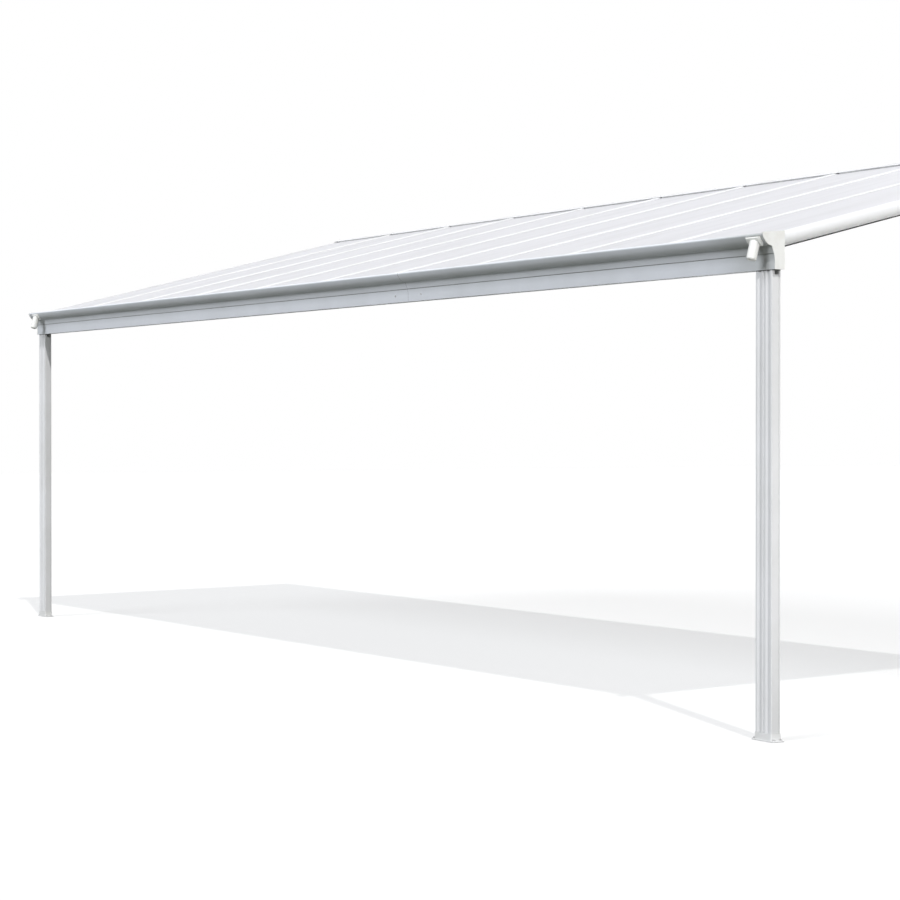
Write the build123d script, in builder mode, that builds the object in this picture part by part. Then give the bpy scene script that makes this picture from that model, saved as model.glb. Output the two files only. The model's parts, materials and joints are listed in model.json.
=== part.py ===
from build123d import *
from math import cos, radians, sin, sqrt, tan
import os

# A lean-to patio cover: a rail on the house wall, ten bays of translucent panels on sloping
# rafters, a gutter beam along the front, and two posts.
# X runs along the house, to the right seen from the garden. Y runs into the wall. Z is up.
# The origin is the centre of the wall rail's flat back face. Sizes are millimetres and degrees.

os.makedirs("parts", exist_ok=True)

# The whole cover
BAYS = 10
BAY = 875.0
PROJECTION = 2600.0
CLEARANCE = 2079.5
PITCH = 14.0

# Wall rail
RAIL_HEIGHT = 130.0
RAIL_DEPTH = 48.0
RAIL_SKIN = 3.0
RAIL_BOX_DROP = 6.0
FLAP_DEPTH = 45.0
FLAP_DROP = 2.0
RAIL_END_PLATE = 3.0
SCREW_RADIUS = 4.5
SCREW_MARGIN = 18.0

# Rafters and what lies on them
RAFTER_WIDTH = 42.0
RAFTER_DEPTH = 55.0
RAFTER_SKIN = 3.0
FLANGE_WIDTH = 60.0
FLANGE_THICKNESS = 2.5
SPINE_WIDTH = 6.0
PANEL_THICKNESS = 8.0
PANEL_CLEARANCE = 1.0
PANEL_BACK_GAP = 6.0
COVER_WIDTH = 60.0
COVER_CROWN = 7.0
COVER_EDGE = 2.5
SEAL_DEPTH = 12.0
SEAL_OVER = 1.0
SEAL_SHORT = 20.0

# Edge beams at the two sides of the roof
EDGE_WIDTH = 46.0
EDGE_HEIGHT = 63.0
EDGE_BULGE = 22.0
EDGE_SKIN = 3.0
EDGE_SLOT_WALL = 22.0
EDGE_LIP = 3.0
SIDE_SEAL_HEIGHT = 6.0
SIDE_SEAL_WIDTH = 20.0

# Gutter beam: s runs back from the lip, h runs up from the lip's top
GUTTER_DEPTH = 118.0
GUTTER_HEIGHT = 157.5
GUTTER_SKIN = 3.0
LIP_RISE = 15.0
LIP_RADIUS = 8.0
LIP_END = 20.0
NOSE_LEAN = 20.0
NOSE_DEPTH = 29.0
NOSE_HEIGHT = 47.0
CHIN_DEPTH = 50.0
CHIN_HEIGHT = 54.0
BAND_DEPTH = 62.0
BAND_HEIGHT = 87.0
GROOVE_WIDTH = 4.0
GROOVE_DEPTH = 4.0
FASCIA_DEPTH = 68.0
FASCIA_HEIGHT = 122.0
TROUGH_FLOOR = 42.0
SHELF_WIDTH = 14.0
SHORT_LENGTH = 3240.0
JOINT_GASKET = 1.5
SLEEVE_LENGTH = 300.0
SLEEVE_CLEARANCE = 0.3
CAP_THICKNESS = 4.0
CAP_OVERLAP = 3.0
CAP_RISE = 3.0
PANEL_FRONT = 40.0
TRIM_SKIN = 2.0
TRIM_DEPTH = 14.0

# Outlet stubs
SPOUT_INSET_LEFT = 137.0
SPOUT_INSET_RIGHT = 64.0
SPOUT_WIDTH = 96.0
SPOUT_REACH = 13.0
SPOUT_BACK = 20.0
SPOUT_BLOCK_TOP = 15.5
SPOUT_BLOCK_BOTTOM = 56.0
SPOUT_BEVEL = 6.0
SPOUT_SEAT = 0.3
PIPE_RADIUS = 23.0
PIPE_BORE = 20.0
PIPE_BORE_LENGTH = 60.0
PIPE_TILT = 15.0
PIPE_TOP = 36.0
PIPE_TOP_BACK = 3.5
PIPE_MOUTH = 112.0
PIPE_ROUND = 5.0
DRAIN_RADIUS = 7.0
DRAIN_FALL = 45.0
DRAIN_HEIGHT = 37.0
DRAIN_BACK = 16.5
DRAIN_LENGTH = 28.0
PIPE_OFF_CENTRE = 10.0

# Posts
POST_WIDTH = 115.0
POST_DEPTH = 50.0
POST_CORNER = 3.0
POST_INSET = 28.0
POST_SIDE_SKIN = 4.0
POST_FACE_SKIN = 8.0
FLUTE_WIDTH = 28.0
FLUTE_DEPTH = 5.0
FLUTE_OFFSET = 30.0
MID_FLUTE_WIDTH = 11.0
MID_FLUTE_DEPTH = 4.0
SIDE_LINE_WIDTH = 2.0
SIDE_LINE_DEPTH = 1.0
SIDE_LINE_FROM_FRONT = 40.0
NOTCH_WIDTH = 22.0
NOTCH_HEIGHT = 17.0
NOTCH_FROM_FRONT = 27.0
BRACKET_PLATE = 4.0
BRACKET_INSET = 3.0
SPIGOT_LENGTH = 60.0
SPIGOT_SKIN = 3.0
FIT = 0.3
FOOT_WIDTH = 160.0
FOOT_DEPTH = 64.0
FOOT_PLATE = 5.0
FOOT_CORNER = 8.0
FOOT_BEVEL = 1.5
SOCKET_HEIGHT = 30.0
SOCKET_SKIN = 4.0
SOCKET_TAPER = 4.0
BOLT_SPACING_X = 140.0
BOLT_SPACING_Y = 40.0
BOLT_RADIUS = 4.0

# Places that follow from the sizes above
SLOPE = tan(radians(PITCH))
RUN = cos(radians(PITCH))
HALF = BAYS * BAY / 2
RAIL_TOP = RAIL_HEIGHT / 2
COVER_TOP = PANEL_THICKNESS + COVER_CROWN
FLAP_UNDER = COVER_TOP + SEAL_OVER
ROOF_AT_WALL = RAIL_TOP - FLAP_DROP - (FLAP_UNDER + RAIL_SKIN) / RUN
LIP_Y = -PROJECTION
GUTTER_BACK_Y = LIP_Y + GUTTER_DEPTH
RAIL_FRONT_Y = -RAIL_DEPTH


# Height at y of the line that lies v above the panels' underside, square to the roof
def roof_z(y, v=0.0):
    return ROOF_AT_WALL + y * SLOPE + v / RUN


LIP_Z = roof_z(LIP_Y, COVER_TOP) + LIP_RISE
GUTTER_BOTTOM_Z = LIP_Z - GUTTER_HEIGHT
GROUND_Z = GUTTER_BOTTOM_Z - CLEARANCE
RAIL_BOX_BOTTOM = roof_z(RAIL_FRONT_Y, -RAFTER_DEPTH) - RAIL_BOX_DROP
SCREW_Z = -RAIL_TOP + SCREW_MARGIN
SEAM_X = HALF - SHORT_LENGTH
RAFTER_X = [-HALF + BAY * n for n in range(1, BAYS)]
SPOUT_X = (-HALF + SPOUT_INSET_LEFT, HALF - SPOUT_INSET_RIGHT)
PANEL_FRONT_Y = LIP_Y + PANEL_FRONT
PANEL_BACK_Y = -PANEL_BACK_GAP


# A point of the gutter's section, as (y, z)
def at(s, h):
    return (LIP_Y + s, LIP_Z + h)


# Height of the panels' underside over the gutter, measured from the lip's top
def under_panels(s):
    return roof_z(LIP_Y + s) - LIP_Z


# A plane square to the roof's slope. Its own x is X, its own y is square to the panels,
# and its normal points down the slope from the wall.
def slope_plane(x):
    return Plane(
        origin=(x, 0, ROOF_AT_WALL),
        x_dir=(1, 0, 0),
        z_dir=(0, -cos(radians(PITCH)), -sin(radians(PITCH))),
    )


SLOPE_LENGTH = PROJECTION / RUN + GUTTER_DEPTH
BEHIND_GUTTER = Plane(origin=(0, GUTTER_BACK_Y, 0), z_dir=(0, 1, 0))
BEFORE_RAIL = Plane(origin=(0, RAIL_FRONT_Y, 0), z_dir=(0, -1, 0))
BEHIND_PANEL_FRONT = Plane(origin=(0, PANEL_FRONT_Y, 0), z_dir=(0, 1, 0))
BEFORE_PANEL_BACK = Plane(origin=(0, PANEL_BACK_Y, 0), z_dir=(0, -1, 0))


def save(builder, name):
    builder.part.label = name
    export_step(builder.part, "parts/" + name + ".step")


# Wall rail: a back flange with a screw line, a box that the rafters butt against, and a flap
# above the panels' upper edges
def wall_rail(name, x_low, x_high):
    front = RAIL_FRONT_Y
    with BuildPart() as rail:
        with BuildSketch(Plane.YZ.offset(x_low)):
            with BuildLine():
                Polyline(
                    (0, -RAIL_TOP),
                    (0, RAIL_TOP),
                    (-RAIL_SKIN, RAIL_TOP),
                    (-RAIL_SKIN, roof_z(-RAIL_SKIN, FLAP_UNDER + RAIL_SKIN)),
                    (-FLAP_DEPTH, roof_z(-FLAP_DEPTH, FLAP_UNDER + RAIL_SKIN)),
                    (-FLAP_DEPTH, roof_z(-FLAP_DEPTH, FLAP_UNDER)),
                    (-RAIL_SKIN, roof_z(-RAIL_SKIN, FLAP_UNDER)),
                    (-RAIL_SKIN, roof_z(-RAIL_SKIN)),
                    (front, roof_z(front)),
                    (front, RAIL_BOX_BOTTOM),
                    (-RAIL_SKIN, RAIL_BOX_BOTTOM),
                    (-RAIL_SKIN, -RAIL_TOP),
                    close=True,
                )
            make_face()
            with BuildLine():
                Polyline(
                    (-RAIL_SKIN, roof_z(-RAIL_SKIN, -RAIL_SKIN)),
                    (front + RAIL_SKIN, roof_z(front + RAIL_SKIN, -RAIL_SKIN)),
                    (front + RAIL_SKIN, RAIL_BOX_BOTTOM + RAIL_SKIN),
                    (-RAIL_SKIN, RAIL_BOX_BOTTOM + RAIL_SKIN),
                    close=True,
                )
            make_face(mode=Mode.SUBTRACT)
        extrude(amount=x_high - x_low)
        screws = [-HALF + BAY * (n + 0.5) for n in range(BAYS)]
        for x in screws:
            if x_low < x < x_high:
                with Locations(Location((x, -RAIL_SKIN, SCREW_Z), (90, 0, 0))):
                    Hole(SCREW_RADIUS)
    save(rail, name)


wall_rail("wall_rail_left", -HALF + RAIL_END_PLATE, SEAM_X)
wall_rail("wall_rail_right", SEAM_X, HALF - RAIL_END_PLATE)

for side, x_low in (("left", -HALF), ("right", HALF - RAIL_END_PLATE)):
    with BuildPart() as rail_end:
        with BuildSketch(Plane.YZ.offset(x_low)):
            with BuildLine():
                Polyline(
                    (0, RAIL_BOX_BOTTOM),
                    (0, RAIL_TOP),
                    (-RAIL_SKIN, RAIL_TOP),
                    (RAIL_FRONT_Y, roof_z(RAIL_FRONT_Y, FLAP_UNDER + RAIL_SKIN)),
                    (RAIL_FRONT_Y, RAIL_BOX_BOTTOM),
                    close=True,
                )
            make_face()
        extrude(amount=RAIL_END_PLATE)
    save(rail_end, "wall_rail_end_" + side)

# Rafters: a box with a wide top flange for the panels and a spine between them
for number, x in enumerate(RAFTER_X, start=1):
    with BuildPart() as rafter:
        with BuildSketch(slope_plane(x)):
            with Locations((0, -RAFTER_DEPTH / 2)):
                Rectangle(RAFTER_WIDTH, RAFTER_DEPTH)
            with Locations((0, -FLANGE_THICKNESS / 2)):
                Rectangle(FLANGE_WIDTH, FLANGE_THICKNESS)
            with Locations((0, PANEL_THICKNESS / 2)):
                Rectangle(SPINE_WIDTH, PANEL_THICKNESS)
            with Locations((0, -RAFTER_DEPTH / 2)):
                Rectangle(
                    RAFTER_WIDTH - 2 * RAFTER_SKIN,
                    RAFTER_DEPTH - 2 * RAFTER_SKIN,
                    mode=Mode.SUBTRACT,
                )
        extrude(amount=SLOPE_LENGTH)
        split(bisect_by=BEHIND_GUTTER, keep=Keep.TOP)
        split(bisect_by=BEFORE_RAIL, keep=Keep.TOP)
    save(rafter, "rafter_" + str(number))


# Where each bay starts and ends, less a margin at its rafters and a margin at the roof's sides
def bay_spans(at_rafter, at_side):
    lines = [-HALF + at_side - at_rafter] + RAFTER_X + [HALF - at_side + at_rafter]
    return [(lines[bay] + at_rafter, lines[bay + 1] - at_rafter) for bay in range(BAYS)]


# Roof panels reach from spine to spine, or into the slot of an edge beam. What lies on them
# reaches from cover strip to cover strip, or up to an edge beam.
PANEL_SPANS = bay_spans(SPINE_WIDTH / 2 + PANEL_CLEARANCE, EDGE_SLOT_WALL + PANEL_CLEARANCE)
COVER_SPANS = bay_spans(COVER_WIDTH / 2, EDGE_WIDTH)


# The outline of a strip that follows the roof, from y_front to y_back and from v_low to v_high
def strip(y_front, y_back, v_low, v_high):
    with BuildLine() as outline:
        Polyline(
            (y_front, roof_z(y_front, v_low)),
            (y_back, roof_z(y_back, v_low)),
            (y_back, roof_z(y_back, v_high)),
            (y_front, roof_z(y_front, v_high)),
            close=True,
        )
    return outline.line


for number, (low, high) in enumerate(PANEL_SPANS, start=1):
    with BuildPart() as panel:
        with BuildSketch(Plane.YZ.offset(low)):
            add(strip(PANEL_FRONT_Y, PANEL_BACK_Y, 0, PANEL_THICKNESS))
            make_face()
        extrude(amount=high - low)
    save(panel, "roof_panel_" + str(number))

# Trims that close the panels' lower ends: a channel round each end, between the cover strips
with BuildPart() as trims:
    for low, high in COVER_SPANS:
        nose = PANEL_FRONT_Y - TRIM_SKIN
        rear = PANEL_FRONT_Y + TRIM_DEPTH
        with BuildSketch(Plane.YZ.offset(low)):
            add(strip(nose, rear, -TRIM_SKIN, PANEL_THICKNESS + TRIM_SKIN))
            make_face()
            add(strip(PANEL_FRONT_Y, rear, 0, PANEL_THICKNESS))
            make_face(mode=Mode.SUBTRACT)
        extrude(amount=high - low)
save(trims, "panel_front_trims")

# Cover strips over the rafters: a low crown that clamps the panels' edges
with BuildPart() as covers:
    for x in RAFTER_X:
        half_cover = COVER_WIDTH / 2
        with BuildSketch(slope_plane(x)):
            with BuildLine():
                Polyline(
                    (-half_cover, PANEL_THICKNESS + COVER_EDGE),
                    (-half_cover, PANEL_THICKNESS),
                    (half_cover, PANEL_THICKNESS),
                    (half_cover, PANEL_THICKNESS + COVER_EDGE),
                )
                ThreePointArc(
                    (half_cover, PANEL_THICKNESS + COVER_EDGE),
                    (0, COVER_TOP),
                    (-half_cover, PANEL_THICKNESS + COVER_EDGE),
                )
            make_face()
        extrude(amount=SLOPE_LENGTH)
    split(bisect_by=BEHIND_PANEL_FRONT, keep=Keep.TOP)
    split(bisect_by=BEFORE_PANEL_BACK, keep=Keep.TOP)
save(covers, "glazing_caps")

# The seal between the rail's flap and the panels: one length for each bay, cut short at its left
with BuildPart() as seal:
    for low, high in COVER_SPANS:
        with BuildSketch(Plane.YZ.offset(low + SEAL_SHORT)):
            add(strip(-FLAP_DEPTH, -FLAP_DEPTH + SEAL_DEPTH, PANEL_THICKNESS, FLAP_UNDER))
            make_face()
        extrude(amount=high - low - SEAL_SHORT)
save(seal, "wall_seal")

# Edge beams: a round outer face, a slot for the outer panel and a hollow below it
EDGE_TOP = PANEL_THICKNESS + EDGE_LIP
EDGE_BOTTOM = EDGE_TOP - EDGE_HEIGHT
EDGE_MIDDLE = EDGE_TOP - EDGE_HEIGHT / 2
EDGE_RADIUS = (EDGE_BULGE**2 + (EDGE_HEIGHT / 2) ** 2) / (2 * EDGE_BULGE)
for side, hand in (("left", -1), ("right", 1)):
    with BuildPart() as edge_beam:
        with BuildSketch(slope_plane(hand * HALF)):
            with BuildLine():
                ThreePointArc(
                    (-hand * EDGE_BULGE, EDGE_TOP),
                    (0, EDGE_MIDDLE),
                    (-hand * EDGE_BULGE, EDGE_BOTTOM),
                )
                Polyline(
                    (-hand * EDGE_BULGE, EDGE_BOTTOM),
                    (-hand * EDGE_WIDTH, EDGE_BOTTOM),
                    (-hand * EDGE_WIDTH, 0),
                    (-hand * EDGE_SLOT_WALL, 0),
                    (-hand * EDGE_SLOT_WALL, PANEL_THICKNESS),
                    (-hand * EDGE_WIDTH, PANEL_THICKNESS),
                    (-hand * EDGE_WIDTH, EDGE_TOP),
                    (-hand * EDGE_BULGE, EDGE_TOP),
                )
            make_face()
        extrude(amount=SLOPE_LENGTH)
        with BuildSketch(slope_plane(hand * HALF)):
            with Locations((-hand * EDGE_RADIUS, EDGE_MIDDLE)):
                Circle(EDGE_RADIUS - EDGE_SKIN)
            hollow_low = EDGE_BOTTOM + EDGE_SKIN
            hollow_high = -EDGE_SKIN
            with Locations(
                (-hand * (EDGE_WIDTH - EDGE_SKIN) / 2, (hollow_low + hollow_high) / 2)
            ):
                Rectangle(EDGE_WIDTH - EDGE_SKIN, hollow_high - hollow_low, mode=Mode.INTERSECT)
        extrude(amount=SLOPE_LENGTH, mode=Mode.SUBTRACT)
        split(bisect_by=BEHIND_GUTTER, keep=Keep.TOP)
        split(bisect_by=BEFORE_RAIL, keep=Keep.TOP)
    save(edge_beam, "side_profile_" + side)

    with BuildPart() as side_seal:
        with BuildSketch(slope_plane(hand * HALF)):
            with Locations(
                (-hand * (EDGE_BULGE + SIDE_SEAL_WIDTH / 2), EDGE_BOTTOM - SIDE_SEAL_HEIGHT / 2)
            ):
                Rectangle(SIDE_SEAL_WIDTH, SIDE_SEAL_HEIGHT)
        extrude(amount=SLOPE_LENGTH)
        split(bisect_by=BEHIND_GUTTER, keep=Keep.TOP)
        split(bisect_by=BEFORE_RAIL, keep=Keep.TOP)
    save(side_seal, "side_seal_" + side)

# Gutter beam. A small round at the lip runs into the nose, one long arc that leans back. Its
# circle is found from the lip's round and from the nose's lower end.
LEAN_SIN = sin(radians(NOSE_LEAN))
LEAN_COS = cos(radians(NOSE_LEAN))
LIP_END_S = LIP_RADIUS * (1 - LEAN_COS)
LIP_END_H = -LIP_RADIUS * (1 + LEAN_SIN)
CHORD_S = NOSE_DEPTH - LIP_END_S
CHORD_H = -NOSE_HEIGHT - LIP_END_H
NOSE_RADIUS = (CHORD_S**2 + CHORD_H**2) / (2 * (CHORD_S * LEAN_COS + CHORD_H * LEAN_SIN))
NOSE_MIDDLE_S = LIP_END_S + NOSE_RADIUS * LEAN_COS
NOSE_MIDDLE_H = LIP_END_H + NOSE_RADIUS * LEAN_SIN
INNER_NOSE = NOSE_RADIUS - GUTTER_SKIN
FLOOR_END = NOSE_MIDDLE_S - sqrt(INNER_NOSE**2 - (TROUGH_FLOOR + NOSE_MIDDLE_H) ** 2)
BACK_INSIDE = GUTTER_DEPTH - GUTTER_SKIN
SHELF_FRONT = GUTTER_DEPTH - SHELF_WIDTH
SHELF_SKIN = GUTTER_SKIN / RUN


# The front skin, from the lip's top down to the bottom edge
def fascia():
    groove_low = -BAND_HEIGHT - GROOVE_WIDTH
    with BuildLine() as front:
        lip = JernArc(at(LIP_RADIUS, 0), (-1, 0), LIP_RADIUS, 90 + NOSE_LEAN)
        TangentArc(lip @ 1, at(NOSE_DEPTH, -NOSE_HEIGHT), tangent=lip % 1)
        Polyline(
            at(NOSE_DEPTH, -NOSE_HEIGHT),
            at(CHIN_DEPTH, -CHIN_HEIGHT),
            at(BAND_DEPTH, -BAND_HEIGHT),
            at(BAND_DEPTH + GROOVE_DEPTH, -BAND_HEIGHT),
            at(BAND_DEPTH + GROOVE_DEPTH, groove_low),
            at(BAND_DEPTH + GUTTER_SKIN / 2, groove_low),
        )
        TangentArc(
            at(FASCIA_DEPTH, -FASCIA_HEIGHT),
            at(BAND_DEPTH + GUTTER_SKIN / 2, groove_low),
            tangent=(0, 1),
        )
        Line(at(FASCIA_DEPTH, -FASCIA_HEIGHT), at(FASCIA_DEPTH, -GUTTER_HEIGHT))
    return front.line


# The whole section's outline, closed along the bottom, the back and the lip's top
def section():
    with BuildLine() as outline:
        add(fascia())
        Polyline(
            at(FASCIA_DEPTH, -GUTTER_HEIGHT),
            at(GUTTER_DEPTH, -GUTTER_HEIGHT),
            at(GUTTER_DEPTH, 0),
            at(LIP_RADIUS, 0),
        )
    return outline.line


# The beam's hollow, below the trough
def beam_hollow():
    ceiling = -TROUGH_FLOOR - GUTTER_SKIN
    floor = -GUTTER_HEIGHT + GUTTER_SKIN
    with BuildLine() as hollow:
        Polyline(
            at((NOSE_DEPTH + CHIN_DEPTH) / 2, ceiling),
            at(CHIN_DEPTH + GUTTER_SKIN, -CHIN_HEIGHT),
            at(BAND_DEPTH + GROOVE_DEPTH + GUTTER_SKIN, -BAND_HEIGHT),
            at(FASCIA_DEPTH + GUTTER_SKIN, -FASCIA_HEIGHT),
            at(FASCIA_DEPTH + GUTTER_SKIN, floor),
            at(BACK_INSIDE, floor),
            at(BACK_INSIDE, ceiling),
            close=True,
        )
    return hollow.line


# A drain hole's plane: it falls forward, through the nose and into the outlet stub at x
def drain_plane(x):
    fall = radians(DRAIN_FALL)
    return Plane(
        origin=(x, *at(DRAIN_BACK, -DRAIN_HEIGHT)),
        x_dir=(1, 0, 0),
        z_dir=(0, -cos(fall), -sin(fall)),
    )


def gutter_length(name, x_low, x_high):
    with BuildPart() as gutter:
        with BuildSketch(Plane.YZ.offset(x_low)):
            with BuildLine():
                add(fascia())
                inside = JernArc(
                    at(LIP_RADIUS, -GUTTER_SKIN), (-1, 0), LIP_RADIUS - GUTTER_SKIN, 90 + NOSE_LEAN
                )
                TangentArc(inside @ 1, at(FLOOR_END, -TROUGH_FLOOR), tangent=inside % 1)
                Polyline(
                    at(FASCIA_DEPTH, -GUTTER_HEIGHT),
                    at(GUTTER_DEPTH, -GUTTER_HEIGHT),
                    at(GUTTER_DEPTH, under_panels(GUTTER_DEPTH)),
                    at(SHELF_FRONT, under_panels(SHELF_FRONT)),
                    at(SHELF_FRONT, under_panels(SHELF_FRONT) - SHELF_SKIN),
                    at(BACK_INSIDE, under_panels(BACK_INSIDE) - SHELF_SKIN),
                    at(BACK_INSIDE, -TROUGH_FLOOR),
                    at(FLOOR_END, -TROUGH_FLOOR),
                )
                Polyline(
                    at(LIP_RADIUS, -GUTTER_SKIN),
                    at(LIP_END, -GUTTER_SKIN),
                    at(LIP_END, 0),
                    at(LIP_RADIUS, 0),
                )
            make_face()
            add(beam_hollow())
            make_face(mode=Mode.SUBTRACT)
        extrude(amount=x_high - x_low)
        for x in SPOUT_X:
            if x_low < x < x_high:
                with BuildSketch(drain_plane(x)):
                    Circle(DRAIN_RADIUS)
                extrude(amount=3 * GUTTER_SKIN, both=True, mode=Mode.SUBTRACT)
    save(gutter, name)


gutter_length("gutter_left", -HALF + CAP_THICKNESS, SEAM_X - JOINT_GASKET / 2)
gutter_length("gutter_right", SEAM_X + JOINT_GASKET / 2, HALF - CAP_THICKNESS)
gutter_length("gutter_joint_gasket", SEAM_X - JOINT_GASKET / 2, SEAM_X + JOINT_GASKET / 2)

with BuildPart() as sleeve:
    with BuildSketch(Plane.YZ.offset(SEAM_X - SLEEVE_LENGTH / 2)):
        add(beam_hollow())
        make_face()
        offset(amount=-SLEEVE_CLEARANCE, kind=Kind.INTERSECTION)
        offset(amount=-GUTTER_SKIN, kind=Kind.INTERSECTION, mode=Mode.SUBTRACT)
    extrude(amount=SLEEVE_LENGTH)
save(sleeve, "gutter_splice_sleeve")

# End caps: the section's outline, proud of it at the front, and up to the edge beam's top
for side, x_low in (("left", -HALF), ("right", HALF - CAP_THICKNESS)):
    with BuildPart() as end_cap:
        with BuildSketch(Plane.YZ.offset(x_low)):
            add(section())
            make_face()
            offset(amount=CAP_OVERLAP)
            cap_back = roof_z(GUTTER_BACK_Y, EDGE_TOP + CAP_OVERLAP) - LIP_Z
            with BuildLine():
                Polyline(
                    at(-CAP_OVERLAP, -LIP_RADIUS),
                    at(-CAP_OVERLAP, CAP_RISE),
                    at(GUTTER_DEPTH, cap_back),
                    at(GUTTER_DEPTH, -LIP_RADIUS),
                    close=True,
                )
            make_face()
            with Locations(at(GUTTER_DEPTH + CAP_OVERLAP, -GUTTER_HEIGHT / 2)):
                Rectangle(2 * CAP_OVERLAP, 2 * GUTTER_HEIGHT, mode=Mode.SUBTRACT)
            with Locations(at(GUTTER_DEPTH / 2, -GUTTER_HEIGHT - CAP_OVERLAP)):
                Rectangle(2 * GUTTER_DEPTH, 2 * CAP_OVERLAP, mode=Mode.SUBTRACT)
        extrude(amount=CAP_THICKNESS)
    save(end_cap, "gutter_end_cap_" + side)

# Outlet stubs: a bevelled block that follows the nose's curve, and a pipe with a closed, rounded
# top that points down and forward from it
block_middle = at((SPOUT_BACK - SPOUT_REACH) / 2, -(SPOUT_BLOCK_TOP + SPOUT_BLOCK_BOTTOM) / 2)
block_depth = SPOUT_BACK + SPOUT_REACH
block_height = SPOUT_BLOCK_BOTTOM - SPOUT_BLOCK_TOP
pipe_length = (PIPE_MOUTH - PIPE_TOP) / cos(radians(PIPE_TILT))
for side, x in (("left", SPOUT_X[0]), ("right", SPOUT_X[1])):
    pipe_plane = Plane(
        origin=(x, *at(PIPE_TOP_BACK, -PIPE_TOP)),
        x_dir=(1, 0, 0),
        z_dir=(0, -sin(radians(PIPE_TILT)), -cos(radians(PIPE_TILT))),
    )
    with BuildPart() as pipe:
        with BuildSketch(pipe_plane):
            Circle(PIPE_RADIUS)
        extrude(amount=pipe_length)
        fillet(pipe.edges().group_by(Axis.Z)[-1], radius=PIPE_ROUND)
    with BuildPart() as spout:
        with BuildSketch(Plane.YZ.offset(x - PIPE_OFF_CENTRE - SPOUT_WIDTH / 2)):
            add(section())
            make_face()
            offset(amount=SPOUT_REACH)
            with Locations(block_middle):
                Rectangle(block_depth, block_height, mode=Mode.INTERSECT)
        extrude(amount=SPOUT_WIDTH)
        top_front = spout.edges().filter_by(Axis.X).group_by(Axis.Z)[-1].sort_by(Axis.Y)[0]
        side_curves = spout.edges().filter_by(GeomType.CIRCLE)
        chamfer(side_curves + [top_front], length=SPOUT_BEVEL)
        add(pipe.part)
        with BuildSketch(Plane.YZ.offset(x - SPOUT_WIDTH)):
            add(section())
            make_face()
            offset(amount=SPOUT_SEAT)
        extrude(amount=2 * SPOUT_WIDTH, mode=Mode.SUBTRACT)
        with BuildSketch(pipe_plane.offset(pipe_length - PIPE_BORE_LENGTH)):
            Circle(PIPE_BORE)
        extrude(amount=PIPE_BORE_LENGTH, mode=Mode.SUBTRACT)
        with BuildSketch(drain_plane(x)):
            Circle(DRAIN_RADIUS)
        extrude(amount=DRAIN_LENGTH, mode=Mode.SUBTRACT)
    save(spout, "spout_" + side)

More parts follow.
